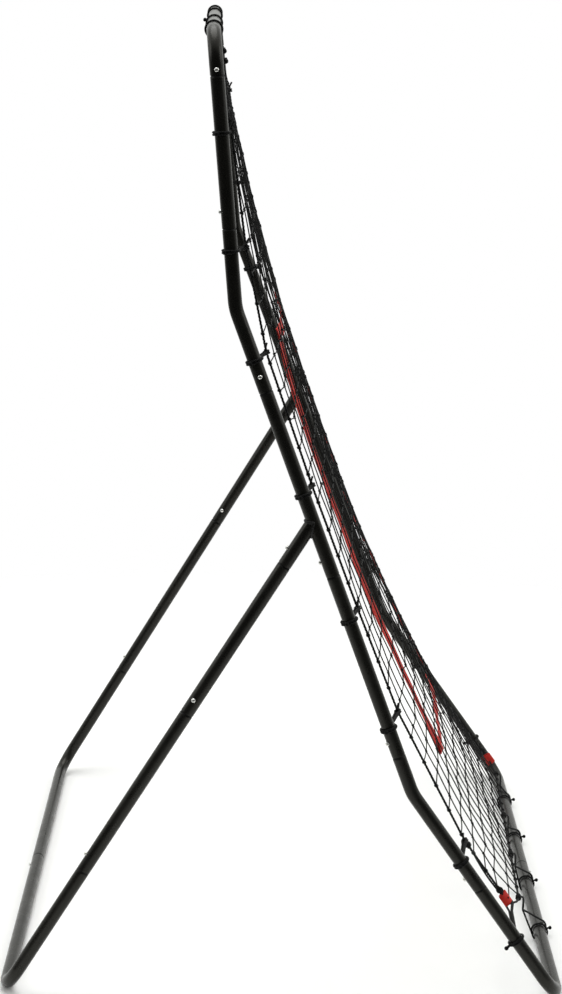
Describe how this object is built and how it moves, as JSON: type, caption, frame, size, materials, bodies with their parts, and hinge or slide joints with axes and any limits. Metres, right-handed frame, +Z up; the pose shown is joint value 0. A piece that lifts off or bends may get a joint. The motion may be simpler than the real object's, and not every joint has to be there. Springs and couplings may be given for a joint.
{
  "type": "pitch back rebounder",
  "caption": "Free-standing tube frame with a sprung, slightly dished net that returns a thrown ball, with a red webbing target and elastic ties.",
  "frame": {"origin": "on the floor under the centre of the frame's bounding box", "axes": "+Z up, X across the net, the thrower's side towards -Y"},
  "size_m": [1.3188, 1.0808, 1.8129],
  "materials": {
    "powder_coated_steel": "semi-gloss black powder coat",
    "zinc_plated_steel": "bright zinc plate",
    "black_net_cord": "matt braided cord",
    "black_elastic": "matt woven elastic",
    "red_webbing": "matt woven webbing"
  },
  "bodies": {
    "frame": {"base_bar_left": "powder_coated_steel", "base_bar_right": "powder_coated_steel", "bottom_bar_left": "powder_coated_steel", "bottom_bar_right": "powder_coated_steel", "leg_lower_left": "powder_coated_steel", "leg_lower_right": "powder_coated_steel", "leg_upper_left": "powder_coated_steel", "leg_upper_right": "powder_coated_steel", "lower_bend_left": "powder_coated_steel", "lower_bend_right": "powder_coated_steel", "lower_tube_left": "powder_coated_steel", "lower_tube_right": "powder_coated_steel", "middle_tube_left": "powder_coated_steel", "middle_tube_right": "powder_coated_steel", "net_border_rope": "black_net_cord", "net_panel": "black_net_cord", "net_tie_1_left": "black_elastic", "net_tie_1_right": "black_elastic", "net_tie_2_left": "black_elastic", "net_tie_2_right": "black_elastic", "net_tie_3_left": "black_elastic", "net_tie_3_right": "black_elastic", "net_tie_4_left": "black_elastic", "net_tie_4_right": "black_elastic", "net_tie_5_left": "black_elastic", "net_tie_5_right": "black_elastic", "net_tie_6_left": "black_elastic", "net_tie_6_right": "black_elastic", "net_tie_7_left": "black_elastic", "net_tie_7_right": "black_elastic", "net_tie_8_left": "black_elastic", "net_tie_8_right": "black_elastic", "target_webbing": "red_webbing", "top_bar_left": "powder_coated_steel", "top_bar_right": "powder_coated_steel", "upper_bend_left": "powder_coated_steel", "upper_bend_right": "powder_coated_steel", "upper_tube_left": "powder_coated_steel", "upper_tube_right": "powder_coated_steel"},
    "button_base_bar": {"button_base_bar": "zinc_plated_steel"},
    "button_bottom_bar": {"button_bottom_bar": "zinc_plated_steel"},
    "button_leg_1_left": {"button_leg_1_left": "zinc_plated_steel"},
    "button_leg_1_right": {"button_leg_1_right": "zinc_plated_steel"},
    "button_leg_2_left": {"button_leg_2_left": "zinc_plated_steel"},
    "button_leg_2_right": {"button_leg_2_right": "zinc_plated_steel"},
    "button_leg_3_left": {"button_leg_3_left": "zinc_plated_steel"},
    "button_leg_3_right": {"button_leg_3_right": "zinc_plated_steel"},
    "button_side_1_left": {"button_side_1_left": "zinc_plated_steel"},
    "button_side_1_right": {"button_side_1_right": "zinc_plated_steel"},
    "button_side_2_left": {"button_side_2_left": "zinc_plated_steel"},
    "button_side_2_right": {"button_side_2_right": "zinc_plated_steel"},
    "button_side_3_left": {"button_side_3_left": "zinc_plated_steel"},
    "button_side_3_right": {"button_side_3_right": "zinc_plated_steel"},
    "button_side_4_left": {"button_side_4_left": "zinc_plated_steel"},
    "button_side_4_right": {"button_side_4_right": "zinc_plated_steel"},
    "button_side_5_left": {"button_side_5_left": "zinc_plated_steel"},
    "button_side_5_right": {"button_side_5_right": "zinc_plated_steel"},
    "button_side_6_left": {"button_side_6_left": "zinc_plated_steel"},
    "button_side_6_right": {"button_side_6_right": "zinc_plated_steel"},
    "button_top_bar": {"button_top_bar": "zinc_plated_steel"}
  },
  "joints": [
    {"name": "base_bar_button_press", "type": "slide", "parent": "frame", "child": "button_base_bar", "axis": [0, -1, 0], "range_m": [0, 0.0054], "stiffness_N_per_m": 1200, "springref_m": -0.002},
    {"name": "bottom_bar_button_press", "type": "slide", "parent": "frame", "child": "button_bottom_bar", "axis": [0, 1, 0], "range_m": [0, 0.0054], "stiffness_N_per_m": 1200, "springref_m": -0.002},
    {"name": "leg_1_left_button_press", "type": "slide", "parent": "frame", "child": "button_leg_1_left", "axis": [0, -0.8524, -0.5229], "range_m": [0, 0.0054], "stiffness_N_per_m": 1200, "springref_m": -0.002},
    {"name": "leg_1_right_button_press", "type": "slide", "parent": "frame", "child": "button_leg_1_right", "axis": [0, -0.8581, -0.5135], "range_m": [0, 0.0054], "stiffness_N_per_m": 1200, "springref_m": -0.002},
    {"name": "leg_2_left_button_press", "type": "slide", "parent": "frame", "child": "button_leg_2_left", "axis": [0.9405, -0.2897, -0.1777], "range_m": [0, 0.0054], "stiffness_N_per_m": 1200, "springref_m": -0.002},
    {"name": "leg_2_right_button_press", "type": "slide", "parent": "frame", "child": "button_leg_2_right", "axis": [0.9398, -0.2933, -0.1755], "range_m": [0, 0.0054], "stiffness_N_per_m": 1200, "springref_m": -0.002},
    {"name": "leg_3_left_button_press", "type": "slide", "parent": "frame", "child": "button_leg_3_left", "axis": [0, -0.8524, -0.5229], "range_m": [0, 0.0054], "stiffness_N_per_m": 1200, "springref_m": -0.002},
    {"name": "leg_3_right_button_press", "type": "slide", "parent": "frame", "child": "button_leg_3_right", "axis": [0, -0.8581, -0.5135], "range_m": [0, 0.0054], "stiffness_N_per_m": 1200, "springref_m": -0.002},
    {"name": "side_1_left_button_press", "type": "slide", "parent": "frame", "child": "button_side_1_left", "axis": [0, -0.8151, 0.5793], "range_m": [0, 0.0054], "stiffness_N_per_m": 1200, "springref_m": -0.002},
    {"name": "side_1_right_button_press", "type": "slide", "parent": "frame", "child": "button_side_1_right", "axis": [0, -0.8093, 0.5873], "range_m": [0, 0.0054], "stiffness_N_per_m": 1200, "springref_m": -0.002},
    {"name": "side_2_left_button_press", "type": "slide", "parent": "frame", "child": "button_side_2_left", "axis": [0.4958, -0.8124, 0.3068], "range_m": [0, 0.0054], "stiffness_N_per_m": 1200, "springref_m": -0.002},
    {"name": "side_2_right_button_press", "type": "slide", "parent": "frame", "child": "button_side_2_right", "axis": [-0.4977, -0.8073, 0.317], "range_m": [0, 0.0054], "stiffness_N_per_m": 1200, "springref_m": -0.002},
    {"name": "side_3_left_button_press", "type": "slide", "parent": "frame", "child": "button_side_3_left", "axis": [0, -0.9355, 0.3533], "range_m": [0, 0.0054], "stiffness_N_per_m": 1200, "springref_m": -0.002},
    {"name": "side_3_right_button_press", "type": "slide", "parent": "frame", "child": "button_side_3_right", "axis": [0, -0.9308, 0.3655], "range_m": [0, 0.0054], "stiffness_N_per_m": 1200, "springref_m": -0.002},
    {"name": "side_4_left_button_press", "type": "slide", "parent": "frame", "child": "button_side_4_left", "axis": [1, 0, 0], "range_m": [0, 0.0054], "stiffness_N_per_m": 1200, "springref_m": -0.002},
    {"name": "side_4_right_button_press", "type": "slide", "parent": "frame", "child": "button_side_4_right", "axis": [-1, 0, 0], "range_m": [0, 0.0054], "stiffness_N_per_m": 1200, "springref_m": -0.002},
    {"name": "side_5_left_button_press", "type": "slide", "parent": "frame", "child": "button_side_5_left", "axis": [0, -0.9958, 0.091], "range_m": [0, 0.0054], "stiffness_N_per_m": 1200, "springref_m": -0.002},
    {"name": "side_5_right_button_press", "type": "slide", "parent": "frame", "child": "button_side_5_right", "axis": [0, -0.9944, 0.1058], "range_m": [0, 0.0054], "stiffness_N_per_m": 1200, "springref_m": -0.002},
    {"name": "side_6_left_button_press", "type": "slide", "parent": "frame", "child": "button_side_6_left", "axis": [1, 0, 0], "range_m": [0, 0.0054], "stiffness_N_per_m": 1200, "springref_m": -0.002},
    {"name": "side_6_right_button_press", "type": "slide", "parent": "frame", "child": "button_side_6_right", "axis": [-1, 0, 0], "range_m": [0, 0.0054], "stiffness_N_per_m": 1200, "springref_m": -0.002},
    {"name": "top_bar_button_press", "type": "slide", "parent": "frame", "child": "button_top_bar", "axis": [0.021, -0.9998, 0], "range_m": [0, 0.0054], "stiffness_N_per_m": 1200, "springref_m": -0.002}
  ]
}
